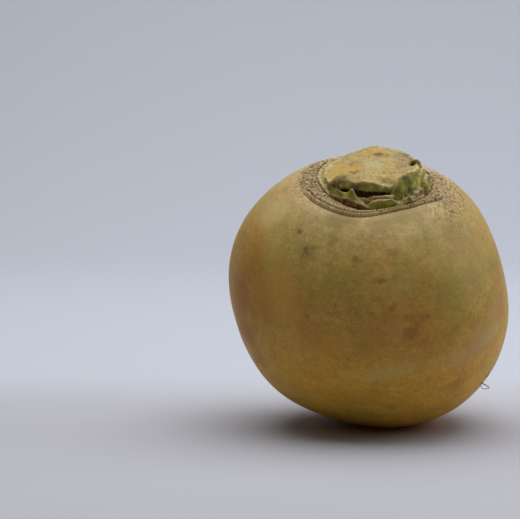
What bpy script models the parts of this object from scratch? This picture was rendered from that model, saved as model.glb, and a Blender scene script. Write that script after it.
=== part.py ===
"""A yellow turnip as sold: a round swollen root and the crown of cut leaf stubs on it.

Metres, +Z up. The turnip stands on a small flat spot whose middle is the origin. Its crown leans
forwards, towards -Y, so the trimmed taproot clears the surface behind the flat spot.
"""

import math

import bmesh
import bpy
from mathutils import Quaternion, Vector

MM = 0.001

# Where the turnip stands and how its crown leans
CENTRE_HEIGHT = 53.7  # the middle of the root above the surface it stands on
CENTRE_RIGHT = -5.7  # the middle of the root, measured from the flat spot
CENTRE_BACK = -0.4
LEAN_FORWARD = 20.0  # degrees from upright to the crown's axis, towards -Y
LEAN_RIGHT = 1.4
ROOT_BEND_BACK = 9.0  # degrees that the taproot turns away from the crown's axis
ROOT_BEND_RIGHT = 7.0

# The swollen root, as distances from its middle
MEAN_RADIUS = 55.2
DEPTH_LOSS = 0.8  # how much smaller it is from front to back
DEPTH_SKEW = 2.4  # how much fuller from front to back the right side is
# Uneven growth, seen from the front: lobes round, how far they stand out, and the angle of the first
LOPSIDED = (
    (2, 1.9, -37.0),
    (3, 0.7, -54.0),
    (4, 0.7, -41.0),
    (6, 0.35, 46.0),
)
UNDERSIDE_FULLNESS = 0.7  # it is a little fuller where it lay on the soil
UNDERSIDE_AT = -96.0  # the angle of that place, seen from the front
UNDERSIDE_SPREAD = 11.0
SHOULDER_DROP = 0.3  # how far the shoulder is below that, near the crown
SHOULDER_FROM = 62.0  # degrees from the crown's axis
SHOULDER_TO = 28.0
BROW_DROP = 0.9  # the shoulder is flatter in front of the crown
BROW_AT = 30.0  # degrees from the crown's axis
BROW_SPREAD = 24.0
ROOT_TAPER = 1.4  # the root draws out towards the taproot
ROOT_TAPER_FROM = 150.0

# The collar of old leaf scars round the crown
COLLAR_INNER = 22.9
COLLAR_OUTER = 28.4
COLLAR_RIBS = 72
RIB_HEIGHT = 0.16
MOAT_DEPTH_FRONT = 3.2  # the collar sinks towards the crown, most of all at the front
MOAT_DEPTH_BACK = 0.7
# Share of the way from the crown to the collar's outer ridge, height over the root, share of the
# moat's depth, share of the ribs' height
COLLAR_STEPS = (
    (0.00, -0.70, 1.00, 0.1),
    (0.28, -0.50, 0.78, 0.4),
    (0.50, -0.35, 0.40, 0.6),
    (0.65, -0.15, 0.10, 0.8),
    (0.71, 0.34, 0.00, 1.0),
    (0.79, 0.30, 0.00, 1.0),
    (0.86, -0.20, 0.00, 0.5),
    (0.94, 0.32, 0.00, 1.0),
    (1.02, 0.26, 0.00, 1.0),
    (1.11, -0.24, 0.00, 0.3),
    (1.25, -0.18, 0.00, 0.0),
    (1.45, 0.00, 0.00, 0.0),
)

# The seat of the crown in the root
SEAT_RADIUS = 22.3
SEAT_HEIGHT = 44.8
FIT_GAP = 0.3

# The trimmed taproot
TAPROOT_RADIUS = 3.2
TAPROOT_LENGTH = 3.0
TAPROOT_TIP_RADIUS = 2.0
TAPROOT_FOOT_OUT = 0.3  # how far out of the root its foot is
TAPROOT_HALF_WAY = 0.45  # share of its length where it is half as tapered
TAPROOT_END_HOLLOW = 0.3

# The cut head of the crown, over the middle of the root
HEAD_HALF_WIDTH = 17.8
HEAD_HALF_DEPTH = 15.6
HEAD_SHIFT_LEFT = 0.6
HEAD_SHIFT_FORWARD = 0.6
HEAD_TOP = 55.6
HEAD_TILT = 0.07  # how fast the cut rises towards the back
HEAD_LOBES = 9
HEAD_LOBE_DEPTH = 0.7
HEAD_UNDERCUT = 2.4  # how far the head's foot is inside its edge, where it is most
UNDERCUT_TOWARDS = 245.0  # degrees round from the right
HEAD_EDGE_DROP = 0.5
SIDE_CUT_TOWARDS = 170.0  # degrees round from the right, where the knife ran down at a slant
SIDE_CUT_FROM = 3.0
SIDE_CUT_SLOPE = 0.34
# Uneven places on the cut: how far right and back they are, their half widths, how high they stand
CUT_BUMPS = (
    (-12.6, -10.4, 4.4, 3.8, 3.2),
    (4.2, -15.6, 4.0, 3.4, -2.6),
    (0.0, 0.6, 5.0, 4.5, -0.5),
)

# The scarred ledge between the head and the outer stubs
LEDGE_HEIGHT = 48.3
LEDGE_INNER = 16.0
LEDGE_FALL = 0.35
FOOT_BEVEL = 0.4

# Mesh fineness
AROUND = 72
COLLAR_AROUND = 2 * COLLAR_RIBS
BODY_RINGS = 34
STUB_STEPS = 18
STUB_LEVELS = 4
CUT_SHARES = (0.99, 0.93, 0.84, 0.72, 0.58, 0.42, 0.22)

SKIN_COLOUR = (0.47, 0.33, 0.12, 1.0)
CROWN_COLOUR = (0.33, 0.34, 0.13, 1.0)


class Axes:
    """The crown's own directions: right, back and along its axis, from the middle of the root."""

    centre = Vector((CENTRE_RIGHT, CENTRE_BACK, CENTRE_HEIGHT))
    up = Vector(
        (
            math.sin(math.radians(LEAN_RIGHT)),
            -math.sin(math.radians(LEAN_FORWARD)),
            math.cos(math.radians(LEAN_FORWARD)),
        )
    ).normalized()
    right = (Vector((1, 0, 0)) - up * up.x).normalized()
    back = up.cross(right)
    bend = Quaternion(right, math.radians(ROOT_BEND_BACK)) @ Quaternion(
        back, -math.radians(ROOT_BEND_RIGHT)
    )


def smooth(low, high, value):
    """0 below low, 1 above high and an even S between them."""
    share = min(1.0, max(0.0, (value - low) / (high - low)))
    return share * share * (3 - 2 * share)


def world(point):
    return point * MM


def direction(polar, azimuth):
    """The way out at these degrees from the crown's axis and round it, bent towards the taproot."""
    a, p = math.radians(azimuth), math.radians(polar)
    flat = Axes.right * math.cos(a) + Axes.back * math.sin(a)
    straight = flat * math.sin(p) + Axes.up * math.cos(p)
    share = smooth(60, 180, polar)
    return Quaternion().slerp(Axes.bend, share) @ straight


def near(way, place, spread):
    """1 at a place on the root, falling to nothing some way round from it."""
    return math.exp(-((math.degrees(way.angle(place)) / spread) ** 2))


def root_radius(way, polar):
    """Distance from the middle to the root's smooth skin."""
    side = math.hypot(way.x, way.z)
    angle = math.atan2(way.z, way.x)
    radius = MEAN_RADIUS + (DEPTH_SKEW * way.x - DEPTH_LOSS) * (1 - side * side)
    for lobes, size, first in LOPSIDED:
        radius += size * side**lobes * math.cos(lobes * (angle - math.radians(first)))
    sag = Vector((math.cos(math.radians(UNDERSIDE_AT)), 0, math.sin(math.radians(UNDERSIDE_AT))))
    radius += UNDERSIDE_FULLNESS * near(way, sag, UNDERSIDE_SPREAD)
    radius -= BROW_DROP * near(way, direction(BROW_AT, 270), BROW_SPREAD)
    radius -= SHOULDER_DROP * (1 - smooth(SHOULDER_TO, SHOULDER_FROM, polar))
    radius += ROOT_TAPER * smooth(ROOT_TAPER_FROM, 180, polar) ** 2
    return radius


def root_point(polar, azimuth, raised=0.0):
    way = direction(polar, azimuth)
    return Axes.centre + way * (root_radius(way, polar) + raised)


def polar_at(distance):
    """The degrees from the crown's axis where the shoulder is this far from it."""
    return math.degrees(math.asin(distance / (MEAN_RADIUS - SHOULDER_DROP - DEPTH_LOSS)))


def crown_point(radius, azimuth, height):
    """A point this far from the crown's axis and this high over the middle of the root."""
    a = math.radians(azimuth)
    flat = Axes.right * math.cos(a) + Axes.back * math.sin(a)
    return Axes.centre + flat * radius + Axes.up * height


def azimuths(count):
    return [360.0 * i / count for i in range(count)]


def add_ring(bm, points):
    return [bm.verts.new(world(point)) for point in points]


def bridge(bm, upper, lower):
    """Faces between two rings that run the same way, the upper one with as many points or twice as many."""
    count = len(lower)
    ratio = len(upper) // count
    for i in range(count):
        j = (i + 1) % count
        if ratio == 1:
            bm.faces.new((upper[i], lower[i], lower[j], upper[j]))
            continue
        first, middle, last = upper[2 * i], upper[2 * i + 1], upper[(2 * i + 2) % len(upper)]
        bm.faces.new((first, lower[i], middle))
        bm.faces.new((middle, lower[i], lower[j]))
        bm.faces.new((middle, lower[j], last))


def close_fan(bm, ring, tip_point):
    """A fan from a ring to one point."""
    tip = bm.verts.new(world(tip_point))
    for i, vert in enumerate(ring):
        bm.faces.new((vert, ring[(i + 1) % len(ring)], tip))


def finish_mesh(bm, name, colour, roughness):
    bmesh.ops.recalc_face_normals(bm, faces=bm.faces)
    mesh = bpy.data.meshes.new(name)
    bm.to_mesh(mesh)
    bm.free()
    mesh.shade_smooth()
    mesh.set_sharp_from_angle(angle=math.radians(40))
    mesh.materials.append(plain_material(name, colour, roughness))
    made = bpy.data.objects.new(name, mesh)
    bpy.context.scene.collection.objects.link(made)
    return made


def plain_material(name, colour, roughness):
    material = bpy.data.materials.new(name)
    material.use_nodes = True
    shader = material.node_tree.nodes["Principled BSDF"]
    shader.inputs["Base Color"].default_value = colour
    shader.inputs["Roughness"].default_value = roughness
    shader.inputs["Metallic"].default_value = 0.0
    return material


def moat_depth(azimuth):
    forward = 0.5 * (1 - math.sin(math.radians(azimuth)))
    return MOAT_DEPTH_BACK + (MOAT_DEPTH_FRONT - MOAT_DEPTH_BACK) * forward**2


def collar_ring(share, height, sunk, ribs):
    """One ring of the scarred collar, its radial ribs raised turn about."""
    distance = COLLAR_INNER + share * (COLLAR_OUTER - COLLAR_INNER)
    polar = polar_at(distance)
    points = []
    for i, azimuth in enumerate(azimuths(COLLAR_AROUND)):
        rib = RIB_HEIGHT * ribs * (1 if i % 2 else -1)
        drop = sunk * moat_depth(azimuth) - height - rib
        points.append(root_point(polar, azimuth) - Axes.up * drop)
    return points


def make_root():
    """The swollen root with its collar of scars, the seat of the crown and the taproot's stump."""
    bm = bmesh.new()
    seat = [crown_point(SEAT_RADIUS, a, SEAT_HEIGHT) for a in azimuths(COLLAR_AROUND)]
    rings = [add_ring(bm, seat)]
    for step in COLLAR_STEPS:
        rings.append(add_ring(bm, collar_ring(*step)))
    last_share = COLLAR_STEPS[-1][0]
    shoulder = polar_at(COLLAR_INNER + last_share * (COLLAR_OUTER - COLLAR_INNER))
    taproot_edge = 180 - math.degrees(2 * TAPROOT_RADIUS / MEAN_RADIUS)
    for i in range(1, BODY_RINGS + 1):
        polar = shoulder + (taproot_edge - shoulder) * i / BODY_RINGS
        rings.append(add_ring(bm, [root_point(polar, a) for a in azimuths(AROUND)]))
    for upper, lower in zip(rings, rings[1:]):
        bridge(bm, upper, lower)
    close_fan(bm, rings[0], crown_point(0, 0, SEAT_HEIGHT))
    add_taproot(bm, rings[-1])
    cut_flat_spot(bm)
    return finish_mesh(bm, "turnip_root", SKIN_COLOUR, 0.5)


def add_taproot(bm, last):
    """The stump of the taproot: a short taper with a plain cut end."""
    way = direction(180, 0)
    foot = root_radius(way, 180)
    across = way.cross(Vector((0, 1, 0))).normalized()
    other = way.cross(across)
    steps = (
        (TAPROOT_RADIUS, TAPROOT_FOOT_OUT),
        (0.5 * (TAPROOT_RADIUS + TAPROOT_TIP_RADIUS), TAPROOT_HALF_WAY * TAPROOT_LENGTH),
        (TAPROOT_TIP_RADIUS, TAPROOT_LENGTH),
    )
    start = last[0].co / MM - Axes.centre
    phase = math.atan2(start.dot(other), start.dot(across))
    following = last[1].co / MM - Axes.centre
    turn = math.atan2(following.dot(other), following.dot(across)) - phase
    turns = 1 if math.sin(turn) > 0 else -1
    for radius, out in steps:
        points = []
        for azimuth in azimuths(AROUND):
            a = phase + turns * math.radians(azimuth)
            flat = across * math.cos(a) + other * math.sin(a)
            points.append(Axes.centre + way * (foot + out) + flat * radius)
        ring = add_ring(bm, points)
        bridge(bm, last, ring)
        last = ring
    close_fan(bm, last, Axes.centre + way * (foot + TAPROOT_LENGTH - TAPROOT_END_HOLLOW))


def cut_flat_spot(bm):
    """The small flat spot that the turnip stands on, cut level at the surface."""
    cut = bmesh.ops.bisect_plane(
        bm,
        geom=bm.verts[:] + bm.edges[:] + bm.faces[:],
        dist=1e-7,
        plane_co=(0, 0, 0),
        plane_no=(0, 0, -1),
        clear_outer=True,
    )
    edges = [item for item in cut["geom_cut"] if isinstance(item, bmesh.types.BMEdge)]
    bmesh.ops.contextual_create(bm, geom=edges)


def head_outline(azimuth):
    """How far the head's edge is from the crown's axis: an oval with a lobe for each cut leaf."""
    a = math.radians(azimuth)
    oval = HEAD_HALF_WIDTH * HEAD_HALF_DEPTH / math.hypot(
        HEAD_HALF_DEPTH * math.cos(a), HEAD_HALF_WIDTH * math.sin(a)
    )
    shifted = oval - HEAD_SHIFT_LEFT * math.cos(a) - HEAD_SHIFT_FORWARD * math.sin(a)
    crease = 1 - abs(math.sin(0.5 * HEAD_LOBES * a))
    return shifted - HEAD_LOBE_DEPTH * crease**3


def cut_height(radius, azimuth):
    """How high the knife's cut is over the middle of the root."""
    right = radius * math.cos(math.radians(azimuth))
    back = radius * math.sin(math.radians(azimuth))
    aside = radius * math.cos(math.radians(azimuth - SIDE_CUT_TOWARDS))
    height = HEAD_TOP + HEAD_TILT * back - SIDE_CUT_SLOPE * max(0.0, aside - SIDE_CUT_FROM)
    for at_right, at_back, wide, deep, rise in CUT_BUMPS:
        height += rise * math.exp(-(((right - at_right) / wide) ** 2) - ((back - at_back) / deep) ** 2)
    return height


def ledge_height(radius):
    return LEDGE_HEIGHT - LEDGE_FALL * max(0.0, radius - LEDGE_INNER)


def ledge_rows():
    """The seated foot and the ledge over it, as radius and height."""
    foot = SEAT_RADIUS - FIT_GAP
    low = SEAT_HEIGHT + FIT_GAP
    return (
        (foot - FOOT_BEVEL, low),
        (foot, low + FOOT_BEVEL),
        (foot, ledge_height(foot) - FOOT_BEVEL),
        (foot - 2 * FOOT_BEVEL, ledge_height(foot)),
    )


def wall_point(azimuth, undercut_share, outward, height):
    """A point on the head's wall, from its edge down to its undercut foot."""
    edge = head_outline(azimuth)
    undercut = HEAD_UNDERCUT * max(0.0, math.cos(math.radians(azimuth - UNDERCUT_TOWARDS)))
    top = cut_height(edge, azimuth) - HEAD_EDGE_DROP
    return crown_point(edge - undercut_share * undercut + outward, azimuth, min(height, top))


def crown_core():
    """The stem under the leaf stubs: seated foot, scarred ledge and the cut head."""
    bm = bmesh.new()
    rows = [[crown_point(radius, a, height) for a in azimuths(AROUND)] for radius, height in ledge_rows()]
    for undercut_share, outward, height in (
        (1.0, 2 * FOOT_BEVEL, LEDGE_HEIGHT - FOOT_BEVEL),
        (1.0, 0.0, LEDGE_HEIGHT),
        (0.5, 0.0, 0.5 * (LEDGE_HEIGHT + HEAD_TOP)),
        (0.0, 0.0, HEAD_TOP),
    ):
        rows.append([wall_point(a, undercut_share, outward, height) for a in azimuths(AROUND)])
    for share in CUT_SHARES:
        row = []
        for a in azimuths(AROUND):
            radius = share * head_outline(a)
            row.append(crown_point(radius, a, cut_height(radius, a)))
        rows.append(row)
    rings = [add_ring(bm, row) for row in rows]
    for upper, lower in zip(rings, rings[1:]):
        bridge(bm, upper, lower)
    close_fan(bm, rings[0], crown_point(0, 0, SEAT_HEIGHT + FIT_GAP))
    close_fan(bm, rings[-1], crown_point(0, 0, cut_height(0, 0)))
    return finish_mesh(bm, "leaf_crown", CROWN_COLOUR, 0.6)


# The leaf stubs round the head. Each is where its middle is, round from the right towards the back,
# half its width in degrees, its radius at the foot and at the tip, its height there, how thick it is,
# and its torn point: place across it from -1 to 1, height, and half width of the point.
LEAF_STUBS = (
    ("front_left", 222, 36, 20.8, 20.2, 50.0, 1.8, (0.52, 2.4, 0.14)),
    ("left_curl", 197, 10, 20.1, 19.7, 50.8, 1.3, (0.0, 0.0, 1.0)),
    ("front", 276, 27, 20.9, 20.2, 47.8, 1.8, (0.28, 1.0, 0.2)),
    ("front_right", 312, 22, 20.8, 20.0, 49.2, 1.8, (-0.3, 0.6, 0.3)),
    ("right", 348, 22, 20.9, 20.6, 52.2, 1.8, (0.0, 0.0, 1.0)),
    ("back_right", 36, 30, 20.6, 19.6, 50.6, 2.0, (0.3, 0.6, 0.2)),
    ("back", 86, 30, 20.4, 19.0, 50.2, 1.8, (-0.4, 1.0, 0.2)),
    ("back_left", 140, 34, 20.6, 20.1, 50.2, 1.8, (0.4, 0.8, 0.2)),
    ("inner_right", 330, 46, 17.9, 16.2, 56.4, 3.2, (0.0, 0.0, 1.0)),
    ("inner_curl", 17, 14, 17.6, 17.1, 56.3, 2.0, (0.0, 0.0, 1.0)),
    ("inner_back", 100, 34, 15.9, 15.6, 53.4, 2.6, (0.5, 0.7, 0.2)),
)
STUB_SUNK = 1.6  # how deep a stub's foot is in the crown
STUB_SIDE_HEIGHT = 0.8  # how high a stub's sides are over its foot
STUB_SQUARENESS = 3.2
STUB_SIDE_THINNING = 0.45
STUB_TIP_THINNING = 0.45
STUB_CURVE = 1.5


def stub_edge(across, rise, torn):
    """How high a stub's edge is over its foot, at a place across it from -1 to 1."""
    place, height, width = torn
    edge = (rise - STUB_SIDE_HEIGHT) * (1 - abs(across) ** STUB_SQUARENESS) + STUB_SIDE_HEIGHT
    return edge + height * math.exp(-(((across - place) / width) ** 2))


def make_stub(name, middle, half_width, foot_radius, tip_radius, tip_height, thickness, torn):
    """One cut leaf stalk: a curved slab that stands on the ledge and thins towards its edge."""
    bm = bmesh.new()
    outer, inner = [], []
    foot_height = ledge_height(foot_radius) - STUB_SUNK
    for i in range(STUB_STEPS + 1):
        across = -1 + 2 * i / STUB_STEPS
        azimuth = middle + half_width * across
        edge = stub_edge(across, tip_height - foot_height, torn)
        ends = 1 - STUB_SIDE_THINNING * across**4
        outer_column, inner_column = [], []
        for j in range(STUB_LEVELS + 1):
            up = j / STUB_LEVELS
            radius = foot_radius + (tip_radius - foot_radius) * up**STUB_CURVE
            half = 0.5 * thickness * ends * (1 - STUB_TIP_THINNING * up**2)
            height = foot_height + edge * up
            outer_column.append(bm.verts.new(world(crown_point(radius + half, azimuth, height))))
            inner_column.append(bm.verts.new(world(crown_point(radius - half, azimuth, height))))
        outer.append(outer_column)
        inner.append(inner_column)
    for wall in (outer, inner):
        for left, right in zip(wall, wall[1:]):
            for j in range(STUB_LEVELS):
                bm.faces.new((left[j], right[j], right[j + 1], left[j + 1]))
    for i in range(STUB_STEPS):
        for j in (0, STUB_LEVELS):
            bm.faces.new((outer[i][j], outer[i + 1][j], inner[i + 1][j], inner[i][j]))
    for i in (0, STUB_STEPS):
        for j in range(STUB_LEVELS):
            bm.faces.new((outer[i][j], outer[i][j + 1], inner[i][j + 1], inner[i][j]))
    return finish_mesh(bm, name, CROWN_COLOUR, 0.6)


def make_crown():
    """The stem and its leaf stubs, grown together as one body."""
    core = crown_core()
    stubs = bpy.data.collections.new("stubs")
    bpy.context.scene.collection.children.link(stubs)
    for stub in LEAF_STUBS:
        made = make_stub(*stub)
        bpy.context.scene.collection.objects.unlink(made)
        stubs.objects.link(made)
    union = core.modifiers.new("grown together", "BOOLEAN")
    union.operation = "UNION"
    union.operand_type = "COLLECTION"
    union.collection = stubs
    union.solver = "EXACT"
    graph = bpy.context.evaluated_depsgraph_get()
    joined = bpy.data.meshes.new_from_object(core.evaluated_get(graph))
    core.modifiers.clear()
    core.data = joined
    for made in list(stubs.objects):
        bpy.data.objects.remove(made)
    bpy.data.collections.remove(stubs)
    return core


def main():
    for thing in list(bpy.data.objects):
        bpy.data.objects.remove(thing)
    make_root()
    make_crown()


main()
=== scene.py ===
"""A round yellow turnip with its leaves cut off short, dressed for a soft studio picture.

The solids give its form. This script lays a finer skin over the same form, grows the crown's cut
leaf stubs with Geometry Nodes, and adds corky scales, root hairs, materials, light and a camera.
Lengths are millimetres until a mesh is made, and angles are degrees.
"""

import math
from functools import partial

import bpy
import numpy as np
from mathutils import Matrix, Vector
from mathutils.bvhtree import BVHTree
from mathutils.kdtree import KDTree


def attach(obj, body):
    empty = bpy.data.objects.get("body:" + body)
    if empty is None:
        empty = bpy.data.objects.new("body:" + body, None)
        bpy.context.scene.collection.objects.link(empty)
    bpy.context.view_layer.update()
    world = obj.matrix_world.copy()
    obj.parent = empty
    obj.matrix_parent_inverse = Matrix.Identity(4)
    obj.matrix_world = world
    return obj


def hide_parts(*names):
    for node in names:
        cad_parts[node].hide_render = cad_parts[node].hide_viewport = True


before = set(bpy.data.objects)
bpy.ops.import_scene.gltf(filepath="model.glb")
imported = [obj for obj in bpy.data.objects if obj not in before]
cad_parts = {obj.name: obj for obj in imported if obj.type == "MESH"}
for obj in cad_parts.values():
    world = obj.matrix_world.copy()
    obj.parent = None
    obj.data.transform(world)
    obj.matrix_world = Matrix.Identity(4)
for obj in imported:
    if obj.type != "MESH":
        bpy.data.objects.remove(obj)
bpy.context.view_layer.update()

MM = 0.001

# The root's form, as its solid has it
CENTRE = np.array((-5.7, -0.4, 53.7))
LEAN_FORWARD = 20.0
LEAN_RIGHT = 1.4
ROOT_BEND_BACK = 9.0
ROOT_BEND_RIGHT = 7.0
ROOT_BEND_FROM = 60.0
MEAN_RADIUS = 55.2
DEPTH_LOSS = 0.8
DEPTH_SKEW = 2.4
# How many lobes, how high they are, and where the first one is
LOPSIDED = (
    (2, 1.9, -37), (3, 0.7, -54), (4, 0.7, -41), (6, 0.35, 46),
)
UNDERSIDE_FULLNESS = 0.7
UNDERSIDE_AT = -96.0
UNDERSIDE_SPREAD = 11.0
SHOULDER_DROP = 0.3
SHOULDER_ENDS = (28.0, 62.0)
BROW_DROP = 0.9
BROW_AT = 30.0
BROW_SPREAD = 24.0
ROOT_TAPER = 1.4
ROOT_TAPER_FROM = 150.0
FLAT_SPOT_SOFTNESS = 0.12
LATITUDE_END = 160.0

# The collar of old leaf scars round the crown, with a moat inside it
COLLAR_INNER = 22.3
COLLAR_OUTER = 28.4
MOAT_DEPTH_FRONT = 3.0
MOAT_DEPTH_BACK = 0.1
# Share of the way from the crown to the outer ridge, height over the root, share of the moat's
# depth, and share of the ribs
COLLAR_STEPS = (
    (0, -0.8, 1, 0), (0.26, -0.55, 0.82, 0.3), (0.5, -0.4, 0.42, 0.5), (0.66, -0.3, 0.12, 0.4),
    (0.715, 0.12, 0.02, 0.9), (0.765, 0.42, 0, 1), (0.82, 0.16, 0, 0.9), (0.87, -0.3, 0, 0.3),
    (0.925, 0.12, 0, 0.9), (0.98, 0.4, 0, 1), (1.04, 0.18, 0, 0.9), (1.1, -0.5, 0, 0.2),
    (1.25, -0.2, 0, 0), (1.45, -0.05, 0, 0), (1.8, 0, 0, 0),
)
# Round the front right it is narrower: by how much, from where to where, and out to which share
NARROWED_BY = 0.52
NARROWED_FROM = (244.0, 294.0)
NARROWED_TO = (308.0, 356.0)
NARROWED_WITHIN = (1.04, 2.1)
# Its ridges stand full in front, and only by this share at the sides and behind
RIDGE_SHARE_AT_SIDES = 0.08
RIDGES_RISE = (0.6, 0.8)
COLLAR_RIBS = 118
RIB_DEPTH = 0.2
CORK_EDGE = 2.1
SEAT_RADIUS = 22.3
SEAT_HEIGHT = 44.8
SEAT_INSET = 0.2
FIT_GAP = 0.3

# The trimmed taproot, whose cut end is a little hollow: share of the radius, and how deep it is
TAPROOT_RADIUS = 3.2
TAPROOT_TIP_RADIUS = 2.0
TAPROOT_LENGTH = 3.0
TAPROOT_NARROWS = 0.6
TAPROOT_END = ((0.8, 0.05), (0.45, 0.3))
TAPROOT_HOLLOW = 0.35

# The crown's cut head and ledge
HEAD_HALF_WIDTH = 18.4
HEAD_HALF_DEPTH = 15.6
HEAD_SHIFT_LEFT = 2.0
HEAD_SHIFT_FORWARD = 0.6
HEAD_TOP = 55.6
HEAD_TILT = 0.07
HEAD_LOBES = 9
HEAD_LOBE_DEPTH = 0.7
HEAD_UNDERCUT = 3.0
UNDERCUT_TOWARDS = 245.0
UNDERCUT_ENDS = (0.05, 0.5)
SIDE_CUT_TOWARDS = 170.0
SIDE_CUT_FROM = 3.0
SIDE_CUT_SLOPE = 0.34
LOBE_AT = 219.0
LOBE_OUT = 1.1
LOBE_SPREAD = 15.0
LEDGE_HEIGHT = 48.3
LEDGE_INNER = 16.0
LEDGE_FALL = 0.35
CROWN_FOOT = 22.0
FOOT_BEVEL = 0.4
WALL_BULGE = 0.45
RIM_RISE = 0.5
RIM_WIDTH = 0.09
RIM_BEVEL = 0.3

# Uneven places on the cut: how far right and back they are, their half widths, how high they stand
CUT_BUMPS = (
    (-13, -11, 4.6, 4.2, 3.9), (4.2, -15.6, 4, 3.4, -2.6), (0, 0.6, 5, 4.5, -0.5),
    (-12, -5.6, 4.2, 1.5, -1.3), (-8.3, -12.2, 1.3, 3.4, -1.2), (-9, 3.9, 1.6, 0.9, -0.45),
    (1.4, 8, 2.6, 1, -0.5), (6.5, 9, 3, 2.6, 0.35), (5, -6, 3.2, 2.4, 0.45), (-4.5, -8.5, 3.4, 2.2, 0.5),
    (9.8, -3, 1.8, 6.5, -0.4), (13.8, 1, 1.3, 1.8, -1.3),
)

# What the cut shows where: how far right and back, half widths, amount
CUT_PATCHES = {
    "pith": ((-1.1, 0, 4.6, 4.8, 1),),
    "scar": (
        (1.2, 7.9, 2.6, 2, 1), (4.2, 7, 1.6, 1.6, 0.8), (-9.2, 3.8, 1.6, 1.6, 0.9),
        (-9.4, -4.4, 2.6, 2.2, 0.8), (11.6, 6.4, 1.5, 2.2, 0.8), (13.8, 3, 1.8, 3.4, 0.9),
    ),
    "speckled": ((9.6, -1.5, 2.9, 6.5, 1), (10.8, 5, 3.4, 4, 1)),
    "yellow": (
        (-9, -1.5, 4.4, 5, 1.1), (-14.5, 1, 5, 8, 1.1), (-1, 11, 9, 4, 0.8), (4, -9, 6, 2.6, 0.6),
        (5, 2, 2.2, 4, 0.5),
    ),
    # Painted shade: a dark pit at the right of the cut
    "hollow": ((13.8, 1, 1.3, 1.8, 1),),
    "greenish": (
        (6.8, 12.8, 4, 2, 0.9), (14.5, 9, 2.6, 3.5, 0.7), (2, -13.6, 9, 1.4, 0.4),
        (-13.5, -11.5, 3.6, 3, 0.6),
    ),
}
# Where the cut ends: how far from its height, how far past its outline, and where its rim begins
CUT_ABOVE = (0.5, 1.2)
CUT_BEYOND = (0.2, 0.9)
RIM_WITHIN = (-2.2, -0.6)

# Leaf stubs: middle round from the right, half width in degrees, radius at foot and tip, height of
# the tip, thickness, waviness of the torn edge, how green it still is, then one torn point: place
# across, height, width
LEAF_STUBS = {
    "front_left": (222, 36, 20.8, 20.2, 50, 1.8, 0.2, 1, 0.52, 2.6, 0.11),
    "left_curl": (196, 14, 20.2, 19.9, 50.9, 1.2, 0.05, 1, 0, 0, 1),
    "front": (277, 20, 20.9, 20.4, 49, 1.8, 0.1, 1.1, 0.35, 0.7, 0.25),
    "front_right": (310, 22, 20.8, 20, 48.4, 1.7, 0.25, 0.35, -0.3, 0.5, 0.3),
    "rough_right": (324, 15, 20.3, 19.5, 49.3, 1.8, 0.25, 0.25, 0.3, 0.5, 0.3),
    "right": (347, 16, 21, 19.6, 52.4, 2.2, 0.05, 1, 0, 0, 1),
    "back_right": (36, 30, 20.6, 19.6, 50.6, 1.9, 0.4, 0.5, 0.3, 0.8, 0.2),
    "back": (86, 30, 20.4, 19, 50.2, 1.7, 0.4, 0.8, -0.4, 1.2, 0.2),
    "back_left": (144, 38, 20, 19.5, 50.4, 3.6, 0.2, 0.5, 0.4, 0.4, 0.2),
    "inner_right": (330, 46, 17.9, 16.1, 56, 3, 0.1, 0.95, -0.45, 1.6, 0.35),
    "inner_curl": (8, 14, 17.6, 17, 55.2, 2, 0.1, 0.9, 0, 0, 1),
    "inner_back": (96, 34, 15.7, 15.3, 52.6, 2.6, 0.15, 0.7, 0, 0, 1),
    "dark_fold": (250, 15, 19.2, 18.6, 48.2, 1.2, 0.14, 0.6, 0.2, 0.4, 0.4),
    "dry_fold": (277, 27, 19, 17.6, 49.5, 1.8, 0.1, 0.5, 0, 0, 1),
    "papery_front_left": (234, 28, 21.5, 21.6, 47.9, 0.8, 0.2, 0, 0.1, 0.4, 0.3),
    "papery_front": (247, 12, 21.3, 21.2, 47.3, 0.9, 0.15, 0, -0.3, 0.3, 0.3),
    "papery_front_right": (314, 26, 21.2, 21.2, 47.2, 0.8, 0.2, 0, -0.4, 0.3, 0.3),
    "second_right": (352, 24, 19.2, 17.9, 54.6, 1.6, 0.08, 0.85, 0, 0, 1),
    "papery_left": (180, 40, 21.3, 22, 49.3, 2.6, 0.2, 0.6, 0.4, 0.3, 0.2),
    "papery_right": (2, 30, 21.3, 22, 48.6, 1.2, 0.4, 0.1, -0.3, 0.5, 0.2),
    "papery_back": (120, 66, 21.3, 22.4, 50.2, 3.2, 0.2, 0.1, 0.2, 0.3, 0.1),
    "papery_back_right": (46, 34, 21.4, 22.7, 49.4, 1.2, 0.4, 0, 0.1, 0.5, 0.2),
}
STUB_SIZES = (
    "Middle", "Half Width", "Foot Radius", "Tip Radius", "Tip Height", "Thickness", "Waviness", "Green",
    "Torn Place", "Torn Height", "Torn Width",
)
STUB_SUNK = 1.6
STUB_END_HEIGHT = 0.8
STUB_SEED_STEP = 7.3

# The curled edge at the head's right: points right, back and up, from its root to its tip, how
# thick it is there, and how far under a torn edge its colour takes it to be
CURL_PATH = (
    (16.2, 2.5, 51.5), (16.6, 1.8, 54), (16.2, 1.5, 55.5), (15.2, 1.4, 56.1), (14.2, 1.3, 55.8),
    (13.7, 1.2, 55.1),
)
CURL_THICKNESS = (2.3, 1.7)
CURL_UNDER = 0.8

# The stem's colour: as far under a torn edge as this, green in a band below the cut's rim, hardly
# green at its foot, and browner round the lobe
STEM_UNDER = 9.0
BAND_BELOW_RIM = 4.2
BAND_FULL_TO = 0.6
BAND_GREEN = 0.95
FOOT_GREEN = 0.1
LOBE_BROWN = 0.6
LOBE_BROWN_SPREAD = 24.0

# Fibres are stretched along the stalks by this share, and are weaker on the cut by this one
FIBRE_STRETCH = 0.8
CUT_CALM = 0.6

# Steps of smoothing that tell a cavity from what is round it
SKIN_CAVITY_STEPS = 8
CROWN_CAVITY_STEPS = 14

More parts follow.
